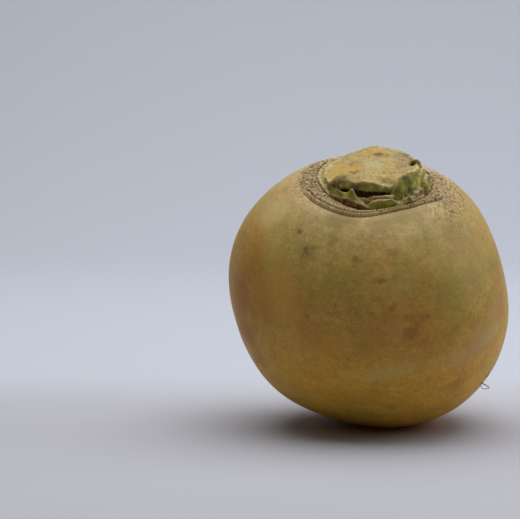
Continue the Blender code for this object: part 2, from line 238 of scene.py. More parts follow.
# Where the skin is corky: middle round from the right, half angle, how far out as a share of the
# collar, amount, and how softly it ends
CORK_PATCHES = (
    (172, 50, 0.5, 1.15, 1), (350, 44, 0.6, 0.85, 1.1), (110, 66, 0.8, 0.9, 0.6),
    (270, 70, 0.6, 0.5, 0.15), (356, 44, 1.05, 0.5, 2.9), (40, 40, 0.7, 0.35, 1.2),
    (172, 40, 0.9, 0.35, 1.4),
)
FAR_FROM_COLLAR = 9.0

# Hairs seen past the skin's right side: thickness, then pixels from the skin to the tip
STRAY_FIBRES = (
    (0.45, ((481, 383), (485, 384.5), (490, 388), (486, 388.7), (482, 389))),
    (0.35, ((486, 377), (488, 375.5), (489, 372.5))), (0.25, ((480, 385), (482, 388), (484, 390.5))),
)
ROOTLETS = 26
ROOTLET_SEED = 17
# For each rootlet: turn round the taproot, share of the way down it, length and thickness
ROOTLET_LEAST = (0, 0.1, 2.5, 0.16)
ROOTLET_MOST = (math.tau, 1.0, 7.5, 0.34)
ROOTLET_DROOP = 0.35
ROOTLET_DOWN = 0.5
ROOTLET_BENDS = (0, 0.35, 0.7, 1)
HAIR_SUNK = 0.3
PATH_STEPS = 15
FIBRE_TIP = 0.35

# The sheet of card that is floor and backdrop, in metres, with its tints
SWEEP_FRONT = -1.6
SWEEP_BACK = 1.1
SWEEP_HEIGHT = 1.6
SWEEP_BEND = 0.5
SWEEP_BEND_STEPS = 25
SWEEP_HALF_WIDTH = 1.6
CARD_FRONT = "#a7a7ad"
CARD_BACK = "#aeb2bb"
CARD_CHANGES = (40.0, 130.0)
# Painted bounce light: a warm tint in the shadow round the turnip, and how far it reaches in mm
PAINTED_BOUNCE_TINT = "#a56c2c"
PAINTED_BOUNCE_REACH = (10.0, 38.0)

# Lights: place, aim and size in metres, power and colour
LIGHTS = (
    ("overhead", (0.04, 0.16, 1.05), (0.0, 0.0, 0.0), (1.4, 1.2), 19.2, "#fbfcff"),
    ("right_window", (0.95, 0.1, 0.5), (0.0, 0.0, 0.03), (0.8, 0.7), 4.2, "#eef3ff"),
)
ROOM_COLOUR = "#ecdfcb"
ROOM_STRENGTH = 0.165

# The camera, from where the photograph shows the root's middle and how large
PHOTO_WIDTH = 520
PHOTO_HEIGHT = 519
PIXELS_PER_MM = 2.509
CENTRE_SEEN_AT = (369.4, 290.8)
CAMERA_DISTANCE = 800.0
CAMERA_ELEVATION = 6.0
SENSOR_WIDTH = 36.0
CLIP_METRES = (0.05, 20.0)

# Mesh fineness
COLLAR_AROUND = 768
COLLAR_ROWS = 46
BODY_AROUND = 384
BODY_ROWS = 150
THINNING_STEP = 0.35
TAPROOT_AROUND = 96
TAPROOT_ROWS = 9
HEAD_AROUND = 288
WALL_ROWS = 13
CUT_ROWS = ((0.985, 0.8, 12), (0.76, 0.06, 26))
CROWN_VOXEL = 0.28


def unit(vector):
    return vector / np.linalg.norm(vector)


X_AXIS = np.array((1.0, 0.0, 0.0))
LEAN = math.radians(LEAN_FORWARD)
UP = unit(np.array((math.sin(math.radians(LEAN_RIGHT)), -math.sin(LEAN), math.cos(LEAN))))
RIGHT = unit(X_AXIS - UP * UP[0])
BACK = np.cross(UP, RIGHT)


# Form


def smooth(low, high, value):
    """0 below low, 1 above high and an even S between them."""
    share = np.clip((value - low) / (high - low), 0.0, 1.0)
    return share * share * (3 - 2 * share)


def between(first, last, share):
    return first + (last - first) * share


def bell(*offsets):
    """1 where every offset is nothing, falling to 0 as any of them grows."""
    return np.exp(-sum(offset**2 for offset in offsets))


def round_from(middle, azimuth):
    """How far round from a middle, between -180 and 180."""
    return (azimuth - middle + 180) % 360 - 180


def turned(vectors, axis, degrees):
    """Vectors turned about an axis, each by its own angle."""
    angle = np.radians(degrees)[..., None]
    along = (vectors @ axis)[..., None] * axis
    return along + np.cos(angle) * (vectors - along) + np.sin(angle) * np.cross(axis, vectors)


def ways(polar, azimuth):
    """Directions at these angles from the crown's axis and round it, bent towards the taproot."""
    polar, azimuth = np.broadcast_arrays(np.asarray(polar, float), np.asarray(azimuth, float))
    p, a = np.radians(polar)[..., None], np.radians(azimuth)[..., None]
    straight = (RIGHT * np.cos(a) + BACK * np.sin(a)) * np.sin(p) + UP * np.cos(p)
    share = smooth(ROOT_BEND_FROM, 180, polar)
    bent = turned(straight, BACK, -ROOT_BEND_RIGHT * share)
    return turned(bent, RIGHT, ROOT_BEND_BACK * share)


def near(way, place, spread):
    """1 at a place on the root, falling to nothing some way round from it."""
    return bell(np.degrees(np.arccos(np.clip(way @ place, -1, 1))) / spread)


def root_radius(way, polar):
    """Distance from the middle to the root's smooth skin."""
    side = np.hypot(way[..., 0], way[..., 2])
    angle = np.arctan2(way[..., 2], way[..., 0])
    radius = MEAN_RADIUS + (DEPTH_SKEW * way[..., 0] - DEPTH_LOSS) * (1 - side * side)
    for lobes, size, first in LOPSIDED:
        radius = radius + size * side**lobes * np.cos(lobes * (angle - math.radians(first)))
    under = math.radians(UNDERSIDE_AT)
    sag = np.array((math.cos(under), 0.0, math.sin(under)))
    radius = radius + UNDERSIDE_FULLNESS * near(way, sag, UNDERSIDE_SPREAD)
    radius -= BROW_DROP * near(way, ways(BROW_AT, 270.0), BROW_SPREAD)
    radius -= SHOULDER_DROP * (1 - smooth(*SHOULDER_ENDS, polar))
    return radius + ROOT_TAPER * smooth(ROOT_TAPER_FROM, 180, polar) ** 2


def root_points(polar, azimuth):
    way = ways(polar, azimuth)
    return CENTRE + way * root_radius(way, polar)[..., None]


def taproot():
    """The way the taproot points, and how far from the middle it leaves the root."""
    tip = ways(180.0, 0.0)
    return tip, float(root_radius(tip, 180.0))


def polar_at(distance):
    return np.degrees(np.arcsin(distance / (MEAN_RADIUS - SHOULDER_DROP - DEPTH_LOSS)))


def crown_points(radius, azimuth, height):
    """Points this far from the crown's axis and this high over the middle of the root."""
    a = np.radians(np.asarray(azimuth, float))[..., None]
    return CENTRE + (RIGHT * np.cos(a) + BACK * np.sin(a)) * radius + UP * height


def local_points(radius, azimuth, height):
    """Points in the crown's own axes, which the stub tree uses too."""
    parts = (radius * np.cos(np.radians(azimuth)), radius * np.sin(np.radians(azimuth)), height)
    return np.stack(np.broadcast_arrays(*parts), -1).astype(float)


def rounds(count):
    return np.arange(count) * 360.0 / count


def head_outline(azimuth):
    """How far the head's edge is from the crown's axis: an oval with a lobe for each cut leaf."""
    a = np.radians(azimuth)
    oval = HEAD_HALF_WIDTH * HEAD_HALF_DEPTH
    oval = oval / np.hypot(HEAD_HALF_DEPTH * np.cos(a), HEAD_HALF_WIDTH * np.sin(a))
    shifted = oval - HEAD_SHIFT_LEFT * np.cos(a) - HEAD_SHIFT_FORWARD * np.sin(a)
    crease = 1 - np.abs(np.sin(0.5 * HEAD_LOBES * a))
    lobe = bell(round_from(LOBE_AT, azimuth) / LOBE_SPREAD)
    return shifted - HEAD_LOBE_DEPTH * crease**3 + LOBE_OUT * lobe


def mound(right, back, place):
    """1 at a place on the cut, falling to nothing outside its half widths."""
    at_right, at_back, wide, deep = place
    return bell((right - at_right) / wide, (back - at_back) / deep)


def cut_height(radius, azimuth):
    """How high the knife's cut is over the middle of the root."""
    right = radius * np.cos(np.radians(azimuth))
    back = radius * np.sin(np.radians(azimuth))
    aside = radius * np.cos(np.radians(azimuth - SIDE_CUT_TOWARDS))
    height = HEAD_TOP + HEAD_TILT * back
    height = height - SIDE_CUT_SLOPE * np.maximum(0.0, aside - SIDE_CUT_FROM)
    for *place, rise in CUT_BUMPS:
        height = height + rise * mound(right, back, place)
    rim = RIM_RISE * bell((1 - radius / head_outline(azimuth)) / RIM_WIDTH)
    return height + rim - RIM_RISE


def about_head(right, back):
    """For places by the head: azimuth, how far past its outline, and how high the cut is there."""
    radius, azimuth = np.hypot(right, back), np.degrees(np.arctan2(back, right)) % 360
    outline = head_outline(azimuth)
    return azimuth, radius - outline, cut_height(np.minimum(radius, outline), azimuth)


def ledge_height(radius):
    return LEDGE_HEIGHT - LEDGE_FALL * max(0.0, radius - LEDGE_INNER)


# Meshes


def new_object(name, data):
    made = bpy.data.objects.new(name, data)
    bpy.context.scene.collection.objects.link(made)
    return made


def new_mesh(name, points, faces, edges=()):
    mesh = bpy.data.meshes.new(name)
    mesh.from_pydata(points, edges, faces)
    return mesh


def standing(spot, *axes):
    """The matrix of what stands at a spot in millimetres with these axes."""
    turn = Matrix(np.stack(axes, 1).tolist()).to_4x4()
    return Matrix.Translation(Vector(spot * MM)) @ turn


def bridged(upper, lower):
    """Faces between two closed rows of vertex numbers, the upper one as long or twice as long."""
    after = np.roll(lower, -1)
    if len(upper) == len(lower):
        return np.stack((upper, lower, after, np.roll(upper, -1)), 1).tolist()
    first, middle, last = upper[0::2], upper[1::2], np.roll(upper[0::2], -1)
    faces = ((first, lower, middle), (middle, lower, after), (middle, after, last))
    return np.concatenate([np.stack(corners, 1) for corners in faces]).tolist()


def rows_mesh(name, rows, values, first_tip, last_tip):
    """A closed mesh through rows of points, with one float attribute for each named value."""
    starts = np.cumsum([0] + [len(row) for row in rows])
    numbers = [np.arange(start, start + len(row)) for start, row in zip(starts, rows)]
    faces = []
    for upper, lower in zip(numbers, numbers[1:]):
        faces += bridged(upper, lower)
    count = starts[-1]
    top, bottom = numbers[0], numbers[-1]
    faces += np.stack((top, np.roll(top, -1), np.full(len(top), count)), 1).tolist()
    faces += np.stack((np.roll(bottom, -1), bottom, np.full(len(bottom), count + 1)), 1).tolist()
    points = np.concatenate(list(rows) + [[first_tip], [last_tip]]) * MM
    mesh = new_mesh(name, points.tolist(), faces)
    for title, parts in values.items():
        data = np.concatenate([np.broadcast_to(part, len(row)) for part, row in zip(parts, rows)])
        ends = [np.mean(parts[0]), np.mean(parts[-1])]
        store(mesh, title, np.concatenate((data, ends)))
    mesh.shade_smooth()
    return mesh


def store(mesh, title, data):
    attribute = mesh.attributes.new(title, "FLOAT", "POINT")
    attribute.data.foreach_set("value", np.asarray(data, np.float32))


def positions(mesh):
    """A mesh's points in millimetres."""
    flat = np.empty(3 * len(mesh.vertices), np.float32)
    mesh.vertices.foreach_get("co", flat)
    return flat.reshape(-1, 3).astype(float) / MM


def modified(made):
    """The plain mesh that an object's modifiers make."""
    graph = bpy.context.evaluated_depsgraph_get()
    return bpy.data.meshes.new_from_object(made.evaluated_get(graph))


# Node trees

# Kinds of node by a short name, with their usual settings
KINDS = {
    "math": ("ShaderNodeMath", {}),
    "vector": ("ShaderNodeVectorMath", {}),
    "map": ("ShaderNodeMapRange", {}),
    "eased": ("ShaderNodeMapRange", {"interpolation_type": "SMOOTHSTEP"}),
    "mix": ("ShaderNodeMix", {"data_type": "RGBA", "clamp_result": True}),
    "noise": ("ShaderNodeTexNoise", {}),
    "seeded": ("ShaderNodeTexNoise", {"noise_dimensions": "4D", "normalize": False}),
    "ramp": ("ShaderNodeValToRGB", {}),
    "bump": ("ShaderNodeBump", {}),
    "join": ("ShaderNodeCombineXYZ", {}),
    "split": ("ShaderNodeSeparateXYZ", {}),
    "inputs": ("NodeGroupInput", {}),
    "position": ("GeometryNodeInputPosition", {}),
    "normal": ("GeometryNodeInputNormal", {}),
    "blur": ("GeometryNodeBlurAttribute", {"data_type": "FLOAT_VECTOR"}),
    "move": ("GeometryNodeSetPosition", {}),
    "read": ("GeometryNodeInputNamedAttribute", {"data_type": "FLOAT"}),
    "store": ("GeometryNodeStoreNamedAttribute", {"data_type": "FLOAT"}),
    "random": ("FunctionNodeRandomValue", {"data_type": "FLOAT_VECTOR"}),
}


def linear(code):
    """An sRGB hex colour as linear red, green, blue and alpha."""
    parts = [int(code[i : i + 2], 16) / 255 for i in (1, 3, 5)]
    curved = [p / 12.92 if p <= 0.04045 else ((p + 0.055) / 1.055) ** 2.4 for p in parts]
    return (*curved, 1.0)


def fill(sockets, values):
    """Give sockets their values, or the links to where their values come from."""
    for socket, value in zip(sockets, values):
        if isinstance(value, bpy.types.NodeSocket):
            socket.id_data.links.new(value, socket)
        else:
            socket.default_value = value


def add(tree, kind, *values, stops=(), **settings):
    """Add a node with its settings and return its first output. Its kind is a short or full name,
    or an operation in capitals, with "vector" before it if it works on vectors. Values fill its
    inputs in order and a dictionary by name, and stops are the places and colours of a ramp."""
    *family, last = kind.split()
    if last.isupper():
        kind, settings["operation"] = "vector" if family else "math", last
    title, usual = KINDS.get(kind, (kind, {}))
    made = tree.nodes.new(title)
    for setting, value in {**usual, **settings}.items():
        setattr(made, setting, value)
    for i, (place, colour) in enumerate(stops):
        elements = made.color_ramp.elements
        element = elements[i] if i < 2 else elements.new(place)
        element.position = place
        element.color = linear(colour) if isinstance(colour, str) else (colour,) * 3 + (1.0,)
    named = values[-1] if values and isinstance(values[-1], dict) else {}
    fill([socket for socket in made.inputs if socket.enabled], values[: len(values) - bool(named)])
    fill([made.inputs[title] for title in named], named.values())
    return next((socket for socket in made.outputs if socket.enabled), made)


def geometry_tree(name, sizes):
    """What adds nodes to a new Geometry Nodes tree, and the tree's inputs by name."""
    tree = bpy.data.node_groups.new(name, "GeometryNodeTree")
    for way in ("INPUT", "OUTPUT"):
        tree.interface.new_socket("Geometry", in_out=way, socket_type="NodeSocketGeometry")
    for title, value in sizes.items():
        kind = "NodeSocketInt" if isinstance(value, int) else "NodeSocketFloat"
        tree.interface.new_socket(title, in_out="INPUT", socket_type=kind).default_value = value
    return partial(add, tree), add(tree, "inputs").node.outputs


def end_tree(node, geometry, material):
    """Every tree ends in real geometry that wears its material. This gives the whole tree."""
    real = node("GeometryNodeRealizeInstances", geometry)
    worn = node("GeometryNodeSetMaterial", real, {"Material": material})
    node("NodeGroupOutput", worn)
    return worn.id_data


def grow(name, mesh, tree, sizes=()):
    """An object with the plain mesh that a tree makes from a mesh."""
    made = new_object(name, mesh)
    modifier = made.modifiers.new(tree.name, "NODES")
    modifier.node_group = tree
    for item in tree.interface.items_tree:
        if item.in_out == "INPUT" and item.name in sizes:
            modifier[item.identifier] = sizes[item.name]
    grown = modified(made)
    made.modifiers.clear()
    made.data = grown
    grown.name = name
    return made


def raised(node, geometry, layers):
    """Push a surface out by layers of relief: each one's level, depth in mm, and where it is."""
    total = 0.0
    for level, depth, amount in layers:
        total = node("MULTIPLY_ADD", level, node("MULTIPLY", depth, amount), total)
    offset = node("vector SCALE", node("normal"), node("MULTIPLY", total, MM))
    return node("move", geometry, {"Offset": offset})


def cavity_stored(node, geometry, steps):
    """Store how far each point lies under its smoothed surroundings, in millimetres."""
    position = node("position")
    below = node("vector SUBTRACT", node("blur", position, steps), position)
    depth = node("vector DOT_PRODUCT", below, node("normal"))
    return node("store", geometry, {"Name": "cavity", "Value": node("MULTIPLY", depth, 1 / MM)})


def new_material(name):
    """A material, what adds nodes to its tree, and Object coordinates in millimetres."""
    material = bpy.data.materials.new(name)
    material.use_nodes = True
    node = partial(add, material.node_tree)
    where = node("ShaderNodeTexCoord").node.outputs["Object"]
    return material, node, node("vector SCALE", where, 1 / MM)


def shaded(material, *looks):
    """Give a material's shader its colour, roughness, specular level and, if any, normal."""
    inputs = material.node_tree.nodes["Principled BSDF"].inputs
    titles = ("Base Color", "Roughness", "Specular IOR Level", "Normal")
    fill([inputs[title] for title in titles], looks)
    return material


def painted(node, colour, layers):
    """Lay tints over a colour, each by its own amount and, if it isn't MIX, way of mixing."""
    for amount, tint, *how in layers:
        tint = linear(tint) if isinstance(tint, str) else tint
        colour = node("mix", amount, colour, tint, blend_type=how[0] if how else "MIX")
    return colour


# The camera, floor and light


def camera_axes():
    e = math.radians(CAMERA_ELEVATION)
    look = np.array((0.0, math.cos(e), -math.sin(e)))
    lift = np.array((0.0, math.sin(e), math.cos(e)))
    aside = (CENTRE_SEEN_AT[0] - PHOTO_WIDTH / 2) / PIXELS_PER_MM
    above = (PHOTO_HEIGHT / 2 - CENTRE_SEEN_AT[1]) / PIXELS_PER_MM
    return CENTRE - look * CAMERA_DISTANCE - X_AXIS * aside - lift * above, lift, look


def add_camera():
    spot, lift, look = camera_axes()
    camera = bpy.data.cameras.new("camera")
    camera.sensor_width = SENSOR_WIDTH
    camera.lens = SENSOR_WIDTH * PIXELS_PER_MM * CAMERA_DISTANCE / PHOTO_WIDTH
    camera.clip_start, camera.clip_end = CLIP_METRES
    made = new_object("camera", camera)
    made.matrix_world = standing(spot, X_AXIS, lift, -look)
    bpy.context.scene.camera = made


def sight_line(x, y):
    """The line of sight through a pixel of the photograph."""
    spot, lift, look = camera_axes()
    aside = (x - PHOTO_WIDTH / 2) / (PIXELS_PER_MM * CAMERA_DISTANCE)
    above = (PHOTO_HEIGHT / 2 - y) / (PIXELS_PER_MM * CAMERA_DISTANCE)
    return spot, unit(look + X_AXIS * aside + lift * above)


def make_sweep():
    """One sheet of pale card: flat under the turnip, then curving up behind it."""
    bend_from = SWEEP_BACK - SWEEP_BEND
    angles = np.radians(np.linspace(0, 90, SWEEP_BEND_STEPS))
    bend = [(bend_from + SWEEP_BEND * math.sin(a), SWEEP_BEND * (1 - math.cos(a))) for a in angles]
    profile = [(SWEEP_FRONT, 0.0), *bend, (SWEEP_BACK, SWEEP_HEIGHT)]
    points = [(x, y, z) for y, z in profile for x in (-SWEEP_HALF_WIDTH, SWEEP_HALF_WIDTH)]
    faces = [(2 * i, 2 * i + 1, 2 * i + 3, 2 * i + 2) for i in range(len(profile) - 1)]
    mesh = new_mesh("sweep", points, faces)
    mesh.shade_smooth()
    mesh.materials.append(card_material())
    new_object("sweep", mesh)


def card_material():
    """Matt card: grey in front, lighter and bluer behind, with a painted warm tint round the turnip for
    the light its skin bounces into its shadow.
    """
    material, node, place = new_material("matt_card")
    back = node("split", place).node.outputs["Y"]
    behind = node("eased", back, *CARD_CHANGES, 0.0, 1.0)
    # Painted warm bounce light in the turnip's shadow
    painted_bounce = node("eased", node("vector LENGTH", place), *PAINTED_BOUNCE_REACH, 0.8, 0.0)
    colour = painted(node, linear(CARD_FRONT), ((behind, CARD_BACK), (painted_bounce, PAINTED_BOUNCE_TINT)))
    return shaded(material, colour, 0.9, 0.2)


def light_studio():
    """A large soft box overhead and a window from the right, in a dim room."""
    for name, spot, aim, size, power, colour in LIGHTS:
        light = bpy.data.lights.new(name, "AREA")
        light.shape = "RECTANGLE"
        light.size, light.size_y = size
        light.energy = power
        light.color = linear(colour)[:3]
        made = new_object(name, light)
        made.location = spot
        made.rotation_euler = (Vector(aim) - Vector(spot)).to_track_quat("-Z", "Y").to_euler()
    world = bpy.data.worlds.new("dim room")
    world.use_nodes = True
    background = world.node_tree.nodes["Background"].inputs
    background["Color"].default_value = linear(ROOM_COLOUR)
    background["Strength"].default_value = ROOM_STRENGTH
    bpy.context.scene.world = world
    bpy.context.scene.view_settings.view_transform = "Standard"


# Skin material


def skin_mark_group():
    """A soft-edged, ragged patch on the skin, long or round, by its place and size."""
    tree = bpy.data.node_groups.new("skin mark", "ShaderNodeTree")
    vectors = ("Place", "Middle", "Along")
    for title in (*vectors, "Half Length", "Half Width", "Ragged", "Strength", "Wobble"):
        kind = "NodeSocketVector" if title in vectors else "NodeSocketFloat"
        tree.interface.new_socket(title, in_out="INPUT", socket_type=kind)
    tree.interface.new_socket("Amount", in_out="OUTPUT", socket_type="NodeSocketFloat")
    node = partial(add, tree)
    given = node("inputs").node.outputs
    place, middle, way, half_length, half_width, ragged, strength, wobble, _ = given
    off = node("vector SUBTRACT", place, middle)
    along = node("vector DOT_PRODUCT", off, way)
    aside = node("vector DISTANCE", off, node("vector SCALE", way, along))
    long, wide = node("DIVIDE", along, half_length), node("DIVIDE", aside, half_width)
    far = node("vector LENGTH", node("join", long, wide))
    within = node("eased", node("MULTIPLY_ADD", wobble, ragged, far), 0.2, 1.1, 1.0, 0.0)
    node("NodeGroupOutput", node("MULTIPLY", within, strength))
    return tree


# Marks on the skin by their tint: what breaks their edges, then for each one the pixel of its
# middle, the pixel of its end, half width in mm, raggedness and strength
SKIN_MARKS = {
    "#cb9848": ("blotch", (280, 295, 275, 250, 12, 1, 0.55), (300, 345, 330, 370, 12, 1, 0.3)),
    "#ad7527": (
        "blotch", (256, 252, 250, 282, 9, 1.2, 0.32), (262, 300, 282, 332, 11, 1.2, 0.4),
        (318, 336, 350, 346, 9, 1.2, 0.35), (372, 342, 400, 348, 8, 1.2, 0.3),
        (360, 396, 410, 398, 8, 1.2, 0.35), (460, 383, 472, 372, 5, 1.2, 0.5),
        (262, 226, 255, 240, 5, 1.2, 0.15),
    ),
    "#93853a": (
        "blotch", (454, 285, 458, 245, 10, 1.3, 0.25), (484, 268, 489, 298, 7, 1.3, 0.35),
        (355, 270, 330, 285, 9, 1.3, 0.2), (460, 318, 450, 330, 6, 1.3, 0.25),
    ),
    # Brownish patches; those just under the collar's ridges are painted shadow under them
    "#8a7434": (
        "blotch", (332, 240, 330, 249, 2.6, 1.8, 0.5), (392, 253, 381, 257, 2.6, 1.8, 0.3),
        (413, 240, 424, 236, 3, 1.8, 0.25), (460, 234, 478, 254, 15, 1.2, 0.55),
        (430, 246, 446, 240, 7, 1.8, 0.3), (414, 272, 430, 262, 14, 1.4, 0.28),
        (408, 214, 442, 208, 8, 1.6, 0.6), (342, 220, 368, 224, 6, 1.4, 0.75),
        (378, 222, 402, 219, 5, 1.4, 0.4), (438, 222, 450, 226, 7, 1.4, 0.4),
        (444, 276, 452, 256, 14, 1.3, 0.3), (452, 212, 466, 226, 9, 1.4, 0.4),
    ),
    "#b26c2c": (
        "blotch", (261, 255, 257, 268, 4.2, 1.6, 0.3), (304, 309, 318, 314, 5, 1.6, 0.4),
        (268, 226, 262, 234, 3, 1.4, 0.25), (382, 322, 400, 306, 4.4, 1.6, 0.35),
        (414, 334, 404, 346, 5, 1.6, 0.35), (454, 384, 467, 376, 3.2, 1.4, 0.45),
        (497, 283, 495, 262, 3, 1.4, 0.4), (500, 305, 497, 325, 3, 1.4, 0.4),
    ),
    # Pale patches on the shoulders: pale cork on the right, and on the top-left shoulder partly painted
    # highlight where the overhead light falls
    "#cdba92": ("blotch", (272, 212, 292, 196, 11, 2, 0.3), (432, 183, 446, 191, 8, 1.8, 0.5)),
    # Painted shade: a warm brown darkening down the left edge
    "#9a5c14": (
        "blotch", (241, 298, 246, 258, 12, 1, 0.6), (247, 332, 243, 310, 11, 1, 0.6),
        (258, 356, 251, 340, 8, 1, 0.4),
    ),
    "#b08a5c": (
        "blotch", (480, 343, 450, 366, 9, 1.2, 0.6), (494, 318, 488, 340, 6, 1.2, 0.35),
        (395, 330, 372, 334, 5, 1.5, 0.25), (318, 308, 328, 309, 3, 1.6, 0.3),
    ),
    # Pale patches; those on the left shoulder are partly painted highlight where the overhead light
    # falls
    "#c0a866": (
        "blotch", (395, 371, 335, 376, 5, 1, 0.4), (452, 359, 412, 368, 5, 1, 0.35),
        (490, 336, 468, 353, 4.4, 1, 0.4), (276, 214, 292, 202, 9, 2, 0.5),
        (272, 242, 262, 264, 9, 1.3, 0.3), (400, 290, 380, 300, 5, 1.5, 0.18),
    ),
    "#7f6a44": (
        "blotch", (308, 251, 316, 249, 4.6, 2.2, 0.45), (300, 231, 304, 231, 2, 2, 0.4),
        (357, 260, 364, 259, 3.4, 2, 0.25), (381, 280, 387, 277, 3, 2, 0.25),
    ),
    "#74501f": (
        "mottle", (355, 259, 358, 255, 2, 1.8, 0.42), (361, 262, 364, 261, 1.2, 1.6, 0.42),
        (380, 281, 384, 277, 2, 2.2, 0.45), (392, 252, 397, 250, 2.2, 2.4, 0.25),
        (420, 322, 436, 304, 2.4, 1.4, 0.4), (410, 333, 404, 341, 3, 1.8, 0.4),
        (391, 309, 398, 302, 2.2, 1.8, 0.38), (458, 379, 461, 376, 0.8, 0.8, 0.6),
        (488, 300, 492, 285, 1.6, 1.6, 0.25),
    ),
    "#553f20": (
        "mottle", (306, 250, 311, 250, 2, 3, 0.42), (302, 256, 305, 258, 1.5, 3, 0.36),
        (313, 248, 316, 247, 1.5, 3, 0.36), (299, 232, 302, 232, 1.1, 2, 0.55),
        (307, 316, 308, 316, 0.5, 0.5, 0.8), (382, 375, 383, 375, 0.4, 0.4, 0.7),
        (486, 317, 487, 317, 0.5, 0.4, 0.7), (447, 355, 448, 355, 0.4, 0.4, 0.5),
        (257, 362, 259, 362, 0.6, 0.8, 0.6), (406, 232, 407, 232, 0.4, 0.4, 0.5),
        (462, 238, 463, 238, 0.5, 0.5, 0.6), (417, 225, 418, 225, 0.4, 0.4, 0.45),
    ),
}


def marks(node, group, place, wobble, seen, lines):
    """One amount for a list of marks, each placed on the skin where its pixel sees it."""
    total = 0.0
    for x, y, end_x, end_y, half_width, ragged, strength in lines:
        middle = seen(x, y)
        way = seen(end_x, end_y) - middle
        sizes = (max(half_width, float(np.linalg.norm(way))), half_width, ragged, strength, wobble)
        places = (place, tuple(middle), tuple(unit(way)))
        made = node("ShaderNodeGroup", *places, *sizes, node_tree=group)
        total = node("MAXIMUM", made, total)
    return total


def ringed(node, place, slowed, latitude):
    """Where growth rings are: what changes fast from crown to taproot and slowly round the root."""
    return node("vector ADD", node("vector SCALE", place, slowed), node("join", 0.0, 0.0, latitude))


def skin_material(seen):
    """Turnip skin: thin, dry and slightly waxy, so it is satin with a soft, broken gloss. It is
    ochre, greener and warmer in patches, ringed by growth, and corky brown round the crown."""
    material, node, place = new_material("turnip_skin")
    latitude, cork, cavity, groove = (
        node("ShaderNodeAttribute", attribute_name=title).node.outputs["Fac"]
        for title in ("latitude", "corky", "cavity", "groove")
    )
    # Noise for what is so many millimetres across, how detailed and how rough
    sizes = ((34, 3, 0.5), (9, 5, 0.62), (2.4, 6, 0.72), (1.3, 4, 0.7), (0.8, 3, 0.65))
    broad, blotch, mottle, fine, speck = (
        node("noise", place, 1 / size, *others) for size, *others in sizes
    )
    rings = node("noise", ringed(node, place, 0.035, latitude), 0.42, 4, 0.6)
    # From pale beside the crown to deep yellow underneath
    pale_to_ripe = ((0.20, "#b9a376"), (0.26, "#ab955f"), (0.32, "#a98f50"), (0.40, "#a3863f"))
    pale_to_ripe += ((0.49, "#b88b3c"), (0.55, "#c89637"), (0.62, "#d9a73f"), (0.78, "#dba93f"))
    ripe = node("ramp", node("DIVIDE", latitude, LATITUDE_END), stops=pale_to_ripe)
    greener = node("ramp", broad, stops=((0.38, "#9c8a3a"), (0.5, "#a98c3d"), (0.62, "#b5822f")))
    layers = [(0.35, greener)]
    for amount, noise, low, dark, high, pale in (
        (0.8, blotch, 0.33, 0.43, 0.68, 0.56),
        (0.85, mottle, 0.32, 0.38, 0.70, 0.60),
        (0.4, rings, 0.36, 0.45, 0.64, 0.55),
        (0.9, speck, 0.34, 0.40, 0.66, 0.58),
    ):
        uneven = node("ramp", noise, stops=((low, dark), (0.5, 0.5), (high, pale)))
        layers.append((amount, uneven, "OVERLAY"))
    group = skin_mark_group()
    wobbles = {"blotch": node("SUBTRACT", blotch, 0.5), "mottle": node("SUBTRACT", mottle, 0.5)}
    for tint, (wobble, *lines) in SKIN_MARKS.items():
        layers.append((marks(node, group, place, wobbles[wobble], seen, lines), tint))
    # Cork: cracked tan scales with dark flecks, ending in a broken edge
    cracks = node("ShaderNodeTexVoronoi", place, {"Scale": 1 / 1.1}, feature="DISTANCE_TO_EDGE")
    cracked = node("ramp", cracks, stops=((0.0, "#705a37"), (0.12, "#957d54"), (0.35, "#b39d73")))
    flecked = node("ramp", fine, stops=((0.36, "#55422a"), (0.46, "#8a7250"), (0.60, "#b7a27b")))
    corked = node("eased", node("MULTIPLY_ADD", wobbles["mottle"], 2.0, cork), 0.3, 0.95, 0.0, 1.0)
    dots = node("eased", fine, 0.49, 0.41, 0.0, 1.0)
    spotty = node("map", cork, 0.02, 0.45, 0.0, 0.85)
    # Painted shade: the skin is darkened where it lies under its surroundings, in creases and hollows
    painted_crease_shade = node("map", cavity, 0.0, 0.25, 0.0, 1.0)
    # Painted shade: the rib grooves across the collar's ridges are darkened
    painted_groove_shade = node("map", groove, 0.25, 0.8, 0.0, 0.65)
    layers += [
        (corked, painted(node, cracked, ((0.45, flecked),))),
        (node("MULTIPLY", dots, spotty), "#4c3820"),
        (painted_crease_shade, "#43301a"),
        (painted_groove_shade, "#4a361e"),
    ]
    gloss = node("map", mottle, 0.3, 0.7, 0.42, 0.58)
    height = node("MULTIPLY_ADD", speck, 0.25, node("MULTIPLY_ADD", rings, 0.25, mottle))
    relief = node("bump", {"Height": height, "Strength": 0.35, "Distance": 0.12 * MM})
    scaly = {"Height": flecked, "Strength": corked, "Distance": 0.35 * MM, "Normal": relief}
    dull = node("ShaderNodeMix", corked, gloss, 0.85)
    return shaded(material, painted(node, ripe, layers), dull, 0.22, node("bump", scaly))


# The skin


def narrowed(azimuth):
    """How much narrower the collar is here, round its front right."""
    azimuth = np.where(azimuth < 180, azimuth + 360, azimuth)
    return NARROWED_BY * smooth(*NARROWED_FROM, azimuth) * (1 - smooth(*NARROWED_TO, azimuth))


